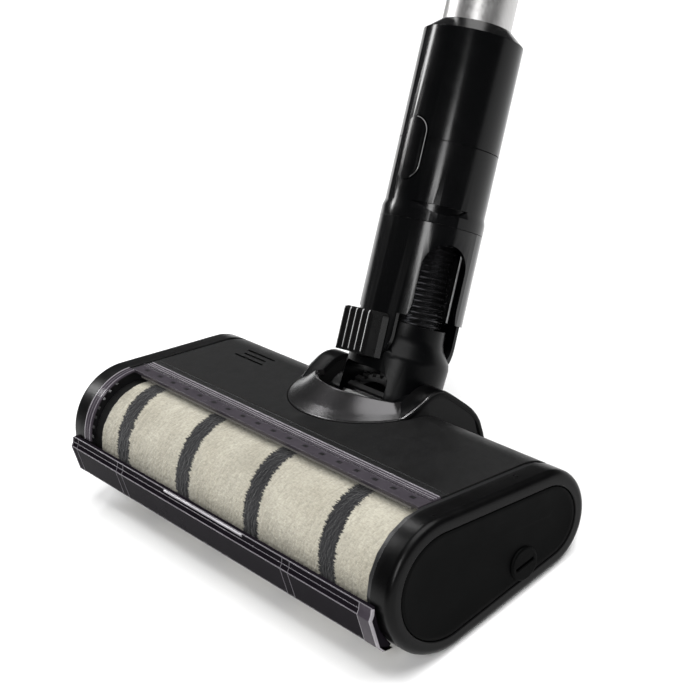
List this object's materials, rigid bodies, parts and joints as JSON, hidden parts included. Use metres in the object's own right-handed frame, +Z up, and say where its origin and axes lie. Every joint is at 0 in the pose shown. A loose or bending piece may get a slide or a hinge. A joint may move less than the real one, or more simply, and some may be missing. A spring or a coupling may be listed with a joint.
{
  "type": "powered soft-roller sweeper head",
  "caption": "Motor-driven soft-roller floor head with clear front bumper, belt drive, rear wheels and a two-axis articulated neck that takes a round push-on wand.",
  "frame": {"origin": "On the floor, under the middle of the bounding box", "axes": "+Z up, -Y the front edge of the head, +X the side with the roller lock"},
  "size_m": [0.2504, 0.2828, 0.2478],
  "materials": {
    "satin_black": "satin moulded plastic",
    "matte_black": "fine-grained matte moulded plastic",
    "gloss_black": "polished moulded plastic",
    "ribbed_black": "matte ribbed plastic",
    "smoke_clear": "smoke-tinted clear plastic",
    "window_clear": "lightly tinted clear plastic",
    "plush": "dense soft pile, cream with charcoal spiral stripes",
    "inner_grey": "moulded structural plastic",
    "rubber": "matte rubber",
    "board": "coated circuit board",
    "hose": "flexible ribbed plastic",
    "wand_alloy": "satin anodised",
    "steel": "plain bright steel"
  },
  "bodies": {
    "head": {"neck_cradle": "satin_black", "lower_housing": "inner_grey", "pivot_drum": "ribbed_black", "top_cover": "matte_black", "right_end_cap": "satin_black", "left_end_cap": "satin_black", "drive_motor": "steel", "drive_belt": "rubber", "light_strip": "board", "left_side_plate": "inner_grey", "window_strip": "window_clear", "end_bearing": "steel", "right_side_plate": "inner_grey", "right_side_panel": "satin_black", "control_board": "board", "left_pitch_pin": "steel", "right_pitch_pin": "steel", "sole_screw_1": "steel", "sole_screw_2": "steel", "sole_screw_3": "steel", "sole_screw_4": "steel", "roller_axle": "steel", "left_side_panel": "satin_black", "bumper_strip": "smoke_clear", "left_wheel_axle": "steel", "right_wheel_axle": "steel", "suction_duct": "inner_grey", "rear_seal": "rubber"},
    "roller": {"roller_pile": "plush", "roller_core": "inner_grey", "roller_drive_hub": "matte_black", "roller_idle_hub": "matte_black", "roller_end_ring": "matte_black", "driven_pulley": "matte_black"},
    "motor_rotor": {"motor_pulley": "steel", "motor_shaft": "steel"},
    "left_roll": {"left_wheel": "rubber"},
    "right_roll": {"right_wheel": "rubber"},
    "lock": {"cap_lock": "satin_black"},
    "yoke": {"neck_yoke": "gloss_black", "hose_cuff": "hose", "knuckle_pin_front": "steel", "knuckle_pin_rear": "steel"},
    "neck": {"neck_shell": "gloss_black", "corrugated_hose": "hose", "wand_socket": "gloss_black", "button_spring": "steel", "pedal_spring": "steel"},
    "pedal": {"foot_pedal": "ribbed_black"},
    "button": {"wand_button": "gloss_black"},
    "wand": {"wand_collar": "gloss_black", "wand_tube": "wand_alloy"}
  },
  "joints": [
    {"name": "roller_spin", "type": "hinge", "parent": "head", "child": "roller", "pos_m": [0, -0.10684, 0.029], "axis": [1, 0, 0], "continuous": true},
    {"name": "motor_spin", "type": "hinge", "parent": "head", "child": "motor_rotor", "pos_m": [-0.11, -0.04614, 0.025], "axis": [1, 0, 0], "continuous": true},
    {"name": "left_wheel_spin", "type": "hinge", "parent": "head", "child": "left_roll", "pos_m": [-0.0355, -0.01434, 0.009], "axis": [1, 0, 0], "continuous": true},
    {"name": "right_wheel_spin", "type": "hinge", "parent": "head", "child": "right_roll", "pos_m": [0.0355, -0.01434, 0.009], "axis": [1, 0, 0], "continuous": true},
    {"name": "lock_turn", "type": "hinge", "parent": "head", "child": "lock", "pos_m": [0.123, -0.06384, 0.0145], "axis": [1, 0, 0], "range_deg": [0, 90]},
    {"name": "neck_pitch", "type": "hinge", "parent": "head", "child": "yoke", "pos_m": [0, -0.03084, 0.0292], "axis": [-1, 0, 0], "range_deg": [-19, 42]},
    {"name": "neck_swing", "type": "hinge", "parent": "yoke", "child": "neck", "pos_m": [0, -0.00605, 0.06186], "axis": [0, 0.7965, -0.6046], "range_deg": [-30, 40], "deforming": ["corrugated_hose"]},
    {"name": "pedal_press", "type": "slide", "parent": "neck", "child": "pedal", "axis": [0.0837, -0.6025, -0.7937], "range_m": [0, 0.003], "stiffness_N_per_m": 900, "springref_m": -0.001, "deforming": ["pedal_spring"]},
    {"name": "button_press", "type": "slide", "parent": "neck", "child": "button", "axis": [0, 0.7965, -0.6046], "range_m": [0, 0.002], "stiffness_N_per_m": 900, "springref_m": -0.001, "deforming": ["button_spring"]},
    {"name": "wand_pull", "type": "slide", "parent": "neck", "child": "wand", "axis": [-0.0837, 0.6025, 0.7937], "range_m": [0, 0.04]}
  ],
  "couplings": [
    {"joint": "motor_spin", "follows": "roller_spin", "ratio": 2.8}
  ]
}
